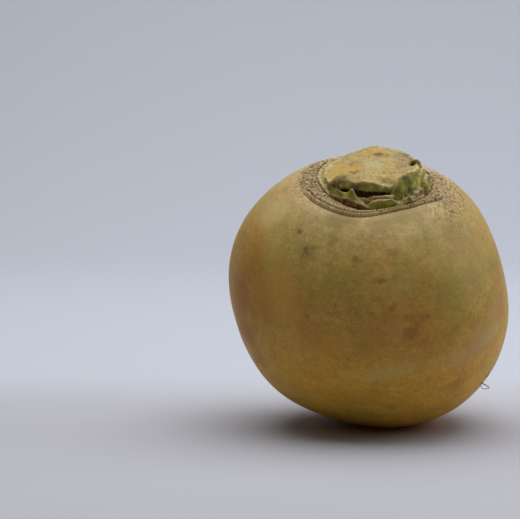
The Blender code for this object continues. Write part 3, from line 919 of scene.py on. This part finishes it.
def collar_points(share, azimuth):
    """A row of the collar, how far it is from the crown's axis, and how strong its ribs are."""
    less = narrowed(azimuth) * (1 - smooth(*NARROWED_WITHIN, share))
    polar = polar_at(between(COLLAR_INNER, COLLAR_OUTER, share * (1 - less)))
    places, *columns = zip(*COLLAR_STEPS)
    at = min(max(int(np.searchsorted(places, share)) - 1, 0), len(places) - 2)
    part = float(smooth(places[at], places[at + 1], share))
    height, sunk, ribs = (between(c[at], c[at + 1], part) for c in columns)
    forward = 0.5 * (1 - np.sin(np.radians(azimuth)))
    moat = between(MOAT_DEPTH_BACK, MOAT_DEPTH_FRONT, forward**2)
    ridged = between(RIDGE_SHARE_AT_SIDES, 1, smooth(*RIDGES_RISE, forward))
    rise = height * ridged - sunk * moat * (1 - narrowed(azimuth))
    return root_points(polar, azimuth) + UP * rise[:, None], polar, ribs * ridged


def corkiness(share, azimuth):
    """How corky the skin is: all of it round the crown's sides and back, in specks further out."""
    total = np.zeros(len(azimuth))
    for middle, half_angle, reach, most, fade in CORK_PATCHES:
        turn = round_from(middle, azimuth) / half_angle
        here = most * np.exp(-(turn**4)) * (1 - smooth(reach, reach + fade, share))
        total = np.maximum(total, here)
    return total


def skin_rows():
    """Rows of points from the crown's seat to the taproot's tip, and what each point knows."""
    rows, known = [], {"latitude": [], "corky": [], "ribbed": [], "around": []}

    def keep(points, polar, azimuth, ribs=0.0, cork=0.0):
        rows.append(points)
        values = (np.radians(polar) * MEAN_RADIUS, cork, ribs, azimuth)
        for kept, value in zip(known.values(), values):
            kept.append(value)

    azimuth = rounds(COLLAR_AROUND)
    start = float(polar_at(COLLAR_INNER))
    keep(crown_points(SEAT_RADIUS - SEAT_INSET, azimuth, SEAT_HEIGHT), start, azimuth)
    for share in np.linspace(0.0, CORK_EDGE, COLLAR_ROWS):
        points, polar, ribs = collar_points(share, azimuth)
        keep(points, polar, azimuth, ribs, corkiness(share, azimuth))
    azimuth = rounds(BODY_AROUND)
    end = 180 - math.degrees(2 * TAPROOT_RADIUS / MEAN_RADIUS)
    for turn in np.linspace(float(np.mean(polar)), end, BODY_ROWS + 1)[1:]:
        away = math.sin(math.radians(turn)) * MEAN_RADIUS
        share = (away - COLLAR_INNER) / (COLLAR_OUTER - COLLAR_INNER)
        share = share if turn < 90 else FAR_FROM_COLLAR
        keep(root_points(turn, azimuth), turn, azimuth, 0.0, corkiness(share, azimuth))
    for around in (BODY_AROUND // 2, TAPROOT_AROUND):
        azimuth = rounds(around)
        turn = turn + THINNING_STEP
        keep(root_points(turn, azimuth), turn, azimuth)
    tip, foot = taproot()
    spread = rows[-1] - CENTRE
    spread = spread - (spread @ tip)[:, None] * tip
    spread = spread / np.linalg.norm(spread, axis=1)[:, None]
    for part in np.linspace(0.1, 1.0, TAPROOT_ROWS):
        radius = between(TAPROOT_RADIUS, TAPROOT_TIP_RADIUS, part**TAPROOT_NARROWS)
        keep(CENTRE + tip * (foot + TAPROOT_LENGTH * part) + spread * radius, 180.0, azimuth)
    for inset, drop in TAPROOT_END:
        end = CENTRE + tip * (foot + TAPROOT_LENGTH - drop)
        keep(end + spread * TAPROOT_TIP_RADIUS * inset, 180.0, azimuth)
    first = crown_points(0.0, 0.0, SEAT_HEIGHT)
    return rows, known, first, CENTRE + tip * (foot + TAPROOT_LENGTH - TAPROOT_HOLLOW)


def skin_tree(material):
    """Ribs on the collar, growth rings, cork and slow swells, all pushed out along the skin."""
    sizes = {"Ribs": COLLAR_RIBS, "Rib Depth": -RIB_DEPTH, "Ring Depth": 0.012}
    sizes |= {"Swell Depth": 0.25, "Cork Depth": 0.3, "Seed": 3.0}
    node, size = geometry_tree("skin relief", sizes)
    place = node("vector SCALE", node("position"), 1 / MM)
    titles = ("around", "ribbed", "corky", "latitude")
    around, ribbed, corky, latitude = (node("read", title) for title in titles)
    rings_at = ringed(node, place, 0.03, latitude)
    upset, uneven, rough, rings, swell = (
        node("seeded", where, size["Seed"], fineness, detail)
        for where, fineness, detail in (
            (place, 0.5, 2),
            (place, 0.6, 1),
            (place, 0.9, 3),
            (rings_at, 0.45, 3),
            (place, 1 / 22, 2),
        )
    )
    # Ribs are narrow grooves across the ridges, their pitch upset by noise and some of them missing
    phase = node("MULTIPLY", node("MULTIPLY", around, math.pi / 360), size["Ribs"])
    level = node("ABSOLUTE", node("COSINE", node("MULTIPLY_ADD", upset, 1.2, phase)))
    some = node("eased", uneven, -0.28, 0.24, 0.0, 1.0)
    groove = node("MULTIPLY", node("MULTIPLY", node("POWER", level, 6.0), some), ribbed)
    layers = (
        (groove, size["Rib Depth"], 1.0),
        (rings, size["Ring Depth"], 1.0),
        (swell, size["Swell Depth"], 1.0),
        (rough, size["Cork Depth"], corky),
    )
    known = node("store", size["Geometry"], {"Name": "groove", "Value": groove})
    moved = raised(node, known, layers)
    return end_tree(node, cavity_stored(node, moved, SKIN_CAVITY_STEPS), material)


def settle(mesh):
    """Press the underside flat where it stands."""
    points = positions(mesh)
    low, soft = points[:, 2], FLAT_SPOT_SOFTNESS
    points[:, 2] = np.maximum(0.5 * (low + np.sqrt(low * low + soft * soft)) - 0.5 * soft, 0.0)
    mesh.vertices.foreach_set("co", (points * MM).astype(np.float32).ravel())
    mesh.update()


def make_skin():
    """The fine skin, and a way to find what a pixel of the photograph shows of it."""
    mesh = rows_mesh("turnip_skin", *skin_rows())
    corners = [list(face.vertices) for face in mesh.polygons]
    surface = BVHTree.FromPolygons([vertex.co for vertex in mesh.vertices], corners)

    def seen(x, y):
        spot, look = sight_line(x, y)
        return np.array(surface.ray_cast(Vector(spot * MM), Vector(look))[0]) / MM

    skin = grow("turnip_skin", mesh, skin_tree(skin_material(seen)))
    settle(skin.data)
    skin.data.shade_smooth()
    return skin, seen


def cork_scale_tree(material):
    """Small dead scales scattered where the skin is corky, lying askew on it."""
    sizes = {"Density": 2.0, "Width": 0.85, "Tilt": 0.22, "Seed": 11}
    node, size = geometry_tree("cork scales", sizes)
    clump = node("seeded", node("vector SCALE", node("position"), 1 / MM), 1.0, 0.55, 2)
    corky = node("read", "corky")
    thick = node("MULTIPLY_ADD", node("MULTIPLY", clump, corky), 0.8, corky)
    present = node("map", thick, 0.4, 1.3, 0.0, 1.0)
    dense = node("MULTIPLY", node("MULTIPLY", present, size["Density"]), 1 / MM**2)
    scattered = {"Density": dense, "Seed": size["Seed"]}
    spread = node("GeometryNodeDistributePointsOnFaces", size["Geometry"], scattered)
    leaned = node("vector SCALE", (1.0, 1.0, 0.0), size["Tilt"])
    back = node("vector SCALE", leaned, -1.0)
    round_once = node("vector ADD", leaned, (0.0, 0.0, math.tau))
    turn = node("FunctionNodeEulerToRotation", node("random", back, round_once))
    upright = spread.node.outputs["Rotation"]
    askew = node("FunctionNodeRotateRotation", upright, turn, rotation_space="LOCAL")
    uneven = node("random", (0.45, 0.3, 0.4), (1.1, 0.8, 1.2), {"Seed": 5})
    sized = node("vector SCALE", uneven, node("MULTIPLY", size["Width"], 0.5 * MM))
    scale = node("GeometryNodeMeshCone", 6, 1, 1, 0.55, 1.0, 0.5)
    scales = {"Instance": scale, "Rotation": askew, "Scale": sized}
    placed = node("GeometryNodeInstanceOnPoints", spread, scales)
    tone = {"Name": "tone", "Value": node("random", {"Seed": 9}, data_type="FLOAT")}
    return end_tree(node, node("store", placed, tone, domain="INSTANCE"), material)


def cork_material():
    """Cork: dead outer skin in scales, quite dull, from dark brown to the tan of dry bark."""
    material, node, place = new_material("dry_cork")
    tone = node("ShaderNodeAttribute", attribute_name="tone").node.outputs["Fac"]
    stops = ((0.0, "#8f7751"), (0.25, "#b6a078"), (0.7, "#ccb991"), (1.0, "#dbcba6"))
    grain = node("noise", place, 1 / 0.6, 3)
    worn = node("ramp", grain, stops=((0.35, 0.38), (0.5, 0.5), (0.65, 0.58)))
    colour = painted(node, node("ramp", tone, stops=stops), ((0.8, worn, "OVERLAY"),))
    return shaded(material, colour, 0.85, 0.25)


def fibre_tree(material):
    """Hair-thin roots along given paths, round and tapering."""
    node, size = geometry_tree("root hairs", {"Sides": 5, "Thickness": 1.0})
    path = node("GeometryNodeMeshToCurve", size["Geometry"])
    radius = node("MULTIPLY", node("read", "thick"), size["Thickness"])
    circle = {"Resolution": size["Sides"], "Radius": 0.5 * MM}
    ring = node("GeometryNodeCurvePrimitiveCircle", circle)
    return end_tree(node, node("GeometryNodeCurveToMesh", path, ring, radius, True), material)


def fibre_paths(seen):
    """Points of the hairs at the skin's right and round the taproot, and how thick each one is."""
    paths = []
    for thick, (first, *others) in STRAY_FIBRES:
        start = seen(*first)
        spot, look = sight_line(*first)
        depth = (start - spot) @ look
        bends = [start - look * HAIR_SUNK]
        for x, y in others:
            spot, way = sight_line(x, y)
            bends.append(spot + way * depth / (way @ look))
        paths.append((bends, thick))
    chance = np.random.default_rng(ROOTLET_SEED)
    tip, foot_distance = taproot()
    foot = CENTRE + tip * foot_distance
    side = unit(np.cross(tip, X_AXIS))
    for _ in range(ROOTLETS):
        turn, along, length, thick = chance.uniform(ROOTLET_LEAST, ROOTLET_MOST)
        out = side * math.cos(turn) + np.cross(tip, side) * math.sin(turn)
        width = between(TAPROOT_RADIUS, TAPROOT_TIP_RADIUS, along)
        start = foot + tip * TAPROOT_LENGTH * along + out * (width - HAIR_SUNK)
        down = tip * ROOTLET_DOWN + chance.normal(0.0, ROOTLET_DROOP, 3)
        bends = [start + length * (out * share + down * share * share) for share in ROOTLET_BENDS]
        for bend in bends:
            bend[2] = max(bend[2], thick)
        paths.append((bends, thick))
    return [(bends, thick, FIBRE_TIP * thick) for bends, thick in paths]


def fibre_material():
    """Dried rootlets: dull brown, lighter and darker by turns."""
    material, node, place = new_material("dry_rootlets")
    worn = node("noise", place, 1 / 1.5, 2)
    colour = node("ramp", worn, stops=((0.35, "#4a3823"), (0.65, "#86693f")))
    return shaded(material, colour, 0.8, 0.2)


# The crown


def stub_tree(material):
    """One cut leaf stalk: a block bent round the crown's axis, thinning to a wavy, torn edge."""
    first = dict(zip(STUB_SIZES, map(float, LEAF_STUBS["front"])))
    node, size = geometry_tree("leaf stub", {**first, "Foot Height": 46.0, "Seed": 0.0})
    cube = {"Size": (2.0, 2.0, 1.0), "Vertices X": 73, "Vertices Y": 5, "Vertices Z": 25}
    block = node("GeometryNodeMeshCube", cube)
    block = node("GeometryNodeTransform", block, {"Translation": (0.0, 0.0, 0.5)})
    across, through, up = node("split", node("position")).node.outputs
    edge_place = node("join", across, size["Seed"])
    rough = node("noise", edge_place, 3.2, 3, normalize=False)
    ragged = node("MULTIPLY", rough, size["Waviness"])
    # The torn edge: lower at both ends, wavy, with one point that stands out
    rise = node("SUBTRACT", size["Tip Height"], size["Foot Height"])
    rise = node("SUBTRACT", rise, STUB_END_HEIGHT)
    aside = node("ABSOLUTE", across)
    level = node("SUBTRACT", 1.0, node("POWER", aside, 3.2))
    off = node("DIVIDE", node("SUBTRACT", across, size["Torn Place"]), size["Torn Width"])
    point = node("EXPONENT", node("MULTIPLY", node("MULTIPLY", off, off), -1.0))
    edge = node("MULTIPLY_ADD", rise, level, STUB_END_HEIGHT)
    edge = node("MULTIPLY_ADD", point, size["Torn Height"], edge)
    edge = node("MULTIPLY_ADD", ragged, 2.5, edge)
    height = node("MULTIPLY_ADD", edge, up, size["Foot Height"])
    # How far out: leaning from foot to tip, wavering, and half as thick at the edge and the ends
    leant = node("SUBTRACT", size["Tip Radius"], size["Foot Radius"])
    radius = node("MULTIPLY_ADD", leant, node("POWER", up, 1.5), size["Foot Radius"])
    radius = node("MULTIPLY_ADD", node("MULTIPLY", ragged, up), 1.5, radius)
    thin = node("MULTIPLY_ADD", node("MULTIPLY", up, up), -0.25, 0.5)
    ends = node("MULTIPLY_ADD", node("POWER", aside, 4.0), -0.45, 1.0)
    half = node("MULTIPLY", node("MULTIPLY", size["Thickness"], thin), ends)
    radius = node("MULTIPLY_ADD", half, through, radius)
    angle = node("RADIANS", node("MULTIPLY_ADD", across, size["Half Width"], size["Middle"]))
    right = node("MULTIPLY", radius, node("COSINE", angle))
    back = node("MULTIPLY", radius, node("SINE", angle))
    under = node("MULTIPLY", edge, node("SUBTRACT", 1.0, up))
    for title, value in (("under", under), ("green", size["Green"])):
        block = node("store", block, {"Name": title, "Value": value})
    bent = node("move", block, {"Position": node("join", right, back, height)})
    return end_tree(node, bent, material)


def head_mesh():
    """The stem between and under the stubs: foot, ledge, undercut neck and the cut face."""
    azimuth = rounds(HEAD_AROUND)
    outline = head_outline(azimuth)
    top = cut_height(outline, azimuth)
    undercut = HEAD_UNDERCUT * np.maximum(0.0, np.cos(np.radians(azimuth - UNDERCUT_TOWARDS)))
    low = SEAT_HEIGHT + FIT_GAP
    ledge = ledge_height(CROWN_FOOT)
    rows = [
        local_points(CROWN_FOOT - FOOT_BEVEL, azimuth, low),
        local_points(CROWN_FOOT, azimuth, low + FOOT_BEVEL),
        local_points(CROWN_FOOT, azimuth, ledge - FOOT_BEVEL),
        local_points(CROWN_FOOT - 2 * FOOT_BEVEL, azimuth, ledge),
        local_points(outline - undercut + 2 * FOOT_BEVEL, azimuth, LEDGE_HEIGHT - FOOT_BEVEL),
    ]
    for up in np.linspace(0.0, 1.0, WALL_ROWS):
        wall = between(LEDGE_HEIGHT, top - RIM_BEVEL, up)
        inward = undercut * (1 - smooth(*UNDERCUT_ENDS, up)) - WALL_BULGE * np.sin(math.pi * up)
        rows.append(local_points(outline - inward, azimuth, wall))
    for share in np.concatenate([np.linspace(*part) for part in CUT_ROWS]):
        radius = share * outline
        rows.append(local_points(radius, azimuth, cut_height(radius, azimuth)))
    first = local_points(0.0, 0.0, low)
    last = local_points(0.0, 0.0, float(cut_height(0.0, 0.0)))
    mesh = rows_mesh("head", rows, {}, first, last)
    mesh.transform(Matrix.Scale(1 / MM, 4))
    return mesh


def path_mesh(name, paths):
    """Smoothed lines through each path's points, tapering between its two thicknesses in mm."""
    points, edges, thicks = [], [], []
    for bends, thick, tip_thick in paths:
        places = np.linspace(0, len(bends) - 1, PATH_STEPS)
        path = np.stack([np.interp(places, range(len(bends)), axis) for axis in zip(*bends)], 1)
        path[1:-1] = (path[:-2] + 2 * path[1:-1] + path[2:]) / 4
        edges += [(len(points) + i, len(points) + i + 1) for i in range(PATH_STEPS - 1)]
        points += (path * MM).tolist()
        thicks += np.linspace(thick, tip_thick, PATH_STEPS).tolist()
    mesh = new_mesh(name, points, [], edges)
    store(mesh, "thick", thicks)
    return mesh


def curled_edge(material):
    """The one stalk edge that has dried into a hook."""
    mesh = path_mesh("curled_edge", [(CURL_PATH, *CURL_THICKNESS)])
    curl = grow("curled_edge", mesh, fibre_tree(material), {"Sides": 12})
    curl.data.transform(Matrix.Scale(1 / MM, 4))
    for title, value in (("under", CURL_UNDER), ("green", 1.0)):
        store(curl.data, title, np.full(len(curl.data.vertices), value))
    return curl


def make_crown(material):
    """Head and stubs grown together, then creased, fibred and coloured by where each point is."""
    tree = stub_tree(material)
    parts = [new_object("head", head_mesh()), curled_edge(material)]
    for seed, (name, values) in enumerate(LEAF_STUBS.items()):
        sizes = dict(zip(STUB_SIZES, map(float, values)))
        sizes["Foot Height"] = ledge_height(sizes["Foot Radius"]) - STUB_SUNK
        sizes["Seed"] = STUB_SEED_STEP * seed
        parts.append(grow(name, bpy.data.meshes.new(name), tree, sizes))
    known = stub_knowledge(parts)
    mesh = joined("crown parts", parts)
    mesh.transform(standing(CENTRE, RIGHT, BACK, UP) @ Matrix.Scale(MM, 4))
    whole = new_object("cut_crown", mesh)
    remesh = whole.modifiers.new("grown together", "REMESH")
    remesh.mode = "VOXEL"
    remesh.voxel_size = CROWN_VOXEL * MM
    mesh = modified(whole)
    bpy.data.objects.remove(whole)
    know_crown(mesh, known)
    crown = grow("cut_crown", mesh, crown_tree(material))
    crown.data.shade_smooth()
    return crown


def joined(name, parts):
    """One mesh from the meshes of objects, which are then removed."""
    points, faces = [], []
    for part in parts:
        base = len(points)
        points += [tuple(vertex.co) for vertex in part.data.vertices]
        faces += [[base + i for i in face.vertices] for face in part.data.polygons]
        bpy.data.objects.remove(part)
    return new_mesh(name, points, faces)


def wall_green(points):
    """The head's wall is green in a band under the cut, but brown where the lobe is."""
    azimuth, _, cut = about_head(points[:, 0], points[:, 1])
    band = 1 - smooth(BAND_FULL_TO * BAND_BELOW_RIM, BAND_BELOW_RIM, cut - points[:, 2])
    brown = LOBE_BROWN * bell(round_from(LOBE_AT, azimuth) / LOBE_BROWN_SPREAD)
    return FOOT_GREEN + (BAND_GREEN - FOOT_GREEN) * band * (1 - brown)


def stub_knowledge(parts):
    """The places of all parts' points with how far under the torn edge and how green each is."""
    found = []
    for part in parts:
        mesh = part.data
        row = np.full((len(mesh.vertices), 5), STEM_UNDER)
        row[:, :3] = positions(mesh) * MM
        row[:, 4] = wall_green(row[:, :3])
        for column, title in ((3, "under"), (4, "green")):
            if title in mesh.attributes:
                values = np.empty(len(mesh.vertices), np.float32)
                mesh.attributes[title].data.foreach_get("value", values)
                row[:, column] = values
        found.append(row)
    return np.concatenate(found)


def know_crown(mesh, known):
    """Store what each of the crown's points is: cut or skin, how green, how near an edge."""
    off = positions(mesh) - CENTRE
    right, back, height = off @ RIGHT, off @ BACK, off @ UP
    _, beyond, level = about_head(right, back)
    cut = 1 - smooth(*CUT_ABOVE, np.abs(height - level))
    cut *= 1 - smooth(*CUT_BEYOND, beyond)
    store(mesh, "cut", cut)
    store(mesh, "height", height)
    store(mesh, "rim", cut * smooth(*RIM_WITHIN, beyond))
    for title, places in CUT_PATCHES.items():
        amounts = [most * mound(right, back, place) for *place, most in places]
        store(mesh, title, np.max(amounts, axis=0))
    tree = KDTree(len(known))
    for i, row in enumerate(known):
        tree.insert(row[:3], i)
    tree.balance()
    nearest = [tree.find(point)[1] for point in np.stack((right, back, height), 1)]
    store(mesh, "under", known[nearest, 3])
    store(mesh, "green", known[nearest, 4])


def crown_tree(material):
    """Ease the voxel steps, then press in fibres up the stalks and lumps on the dried cut."""
    sizes = {"Fibre Depth": 0.16, "Lump Depth": 0.4, "Seed": 5.0}
    node, size = geometry_tree("crown relief", sizes)
    position = node("position")
    soft = node("move", size["Geometry"], {"Position": node("blur", position, 3)})
    place = node("vector SCALE", position, 1 / MM)
    along = node("MULTIPLY", node("read", "height"), -FIBRE_STRETCH)
    stretched = node("vector ADD", place, node("vector SCALE", tuple(UP), along))
    fibres = node("seeded", stretched, size["Seed"], 0.6, 2)
    lumps = node("seeded", place, size["Seed"], 0.3, 1)
    stalk = node("MULTIPLY_ADD", node("read", "cut"), -CUT_CALM, 1.0)
    layers = ((fibres, size["Fibre Depth"], stalk), (lumps, size["Lump Depth"], 1.0))
    moved = raised(node, soft, layers)
    return end_tree(node, cavity_stored(node, moved, CROWN_CAVITY_STEPS), material)


def crown_material():
    """Cut leaf stalks: fresh green skin outside, a dry yellow cut face with a pale shrunken rim, and
    brown dead tissue, with painted shade darkening the creases. Dull all over, a little moist where it
    is green."""
    material, node, place = new_material("cut_stalk_tissue")
    sizes = ((4.5, 4, 0.6), (1.5, 5, 0.65), (0.5, 3, 0.6))
    patch, mottle, grain = (node("noise", place, 1 / size, *others) for size, *others in sizes)

    def where(title, texture, ragged, low, high, most=1.0):
        """The amount of a stored value, broken up by a texture."""
        known = node("ShaderNodeAttribute", attribute_name=title).node.outputs["Fac"]
        broken = node("MULTIPLY_ADD", node("SUBTRACT", texture, 0.5), ragged, known)
        return node("eased", broken, low, high, 0.0, most)

    green, shade, dead, dry, flesh, worn = (
        node("ramp", texture, stops=stops)
        for texture, stops in (
            (patch, ((0.32, "#5f5c24"), (0.44, "#78742b"), (0.54, "#8f8a34"), (0.66, "#aeaa45"))),
            (mottle, ((0.3, 0.38), (0.5, 0.5), (0.7, 0.6))),
            (mottle, ((0.34, "#3c2c16"), (0.48, "#6e5632"), (0.64, "#9c7f50"))),
            (mottle, ((0.35, "#846c3e"), (0.5, "#a8925e"), (0.65, "#c8b585"))),
            (patch, ((0.34, "#7b6023"), (0.47, "#8d7833"), (0.58, "#978643"), (0.72, "#7d6329"))),
            (mottle, ((0.34, "#6c4a20"), (0.44, "#957f3b"), (0.64, "#b09f60"))),
        )
    )
    specks = node("eased", grain, 0.50, 0.42, 0.0, 1.0)
    speckled = where("speckled", mottle, 1.5, 0.2, 0.7, 0.9)
    face_layers = (
        (0.6, worn),
        (where("yellow", patch, 1.6, 0.2, 0.85, 0.8), "#aa851d"),
        (where("pith", mottle, 1.2, 0.2, 1.0, 0.75), "#a29368"),
        (where("greenish", mottle, 1.0, 0.3, 0.8, 0.7), "#7c7e3a"),
        (where("scar", mottle, 3.0, 0.40, 0.85, 0.85), "#744810"),
        (node("MULTIPLY", specks, speckled), "#5a3414"),
        (where("rim", patch, 4.0, 0.5, 1.4, 0.75), "#b1a070"),
        # Painted shade in the pit at the right of the cut
        (where("hollow", mottle, 0.6, 0.3, 0.7, 0.9), "#4a2f14"),
    )
    fresh = painted(node, green, ((0.8, shade, "OVERLAY"),))
    layers = (
        (where("green", patch, 2.2, 0.35, 0.75), fresh),
        (where("under", mottle, 2.2, 0.7, 0.05, 0.75), dry),
        (where("cut", grain, 0.3, 0.35, 0.65), painted(node, flesh, face_layers)),
        # Painted shade: near black in the crown's creases and hollows
        (where("cavity", grain, 0.15, 0.08, 0.42), "#24180c"),
    )
    height = node("MULTIPLY_ADD", grain, 0.5, mottle)
    relief = node("bump", {"Height": height, "Strength": 0.35, "Distance": 0.1 * MM})
    return shaded(material, painted(node, dead, layers), 0.6, 0.35, relief)


def main():
    add_camera()
    make_sweep()
    light_studio()
    skin, seen = make_skin()
    crown = make_crown(crown_material())
    scales = grow("cork_scales", skin.data.copy(), cork_scale_tree(cork_material()))
    paths = path_mesh("root_hairs", fibre_paths(seen))
    hairs = grow("root_hairs", paths, fibre_tree(fibre_material()))
    hairs.data.shade_smooth()
    for piece, finish in (
        (skin, "root_skin"),
        (crown, "cut_leaf_stalks"),
        (scales, "root_skin"),
        (hairs, "root_skin"),
    ):
        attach(piece, "root")
    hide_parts("turnip_root")
    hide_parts("leaf_crown")


main()
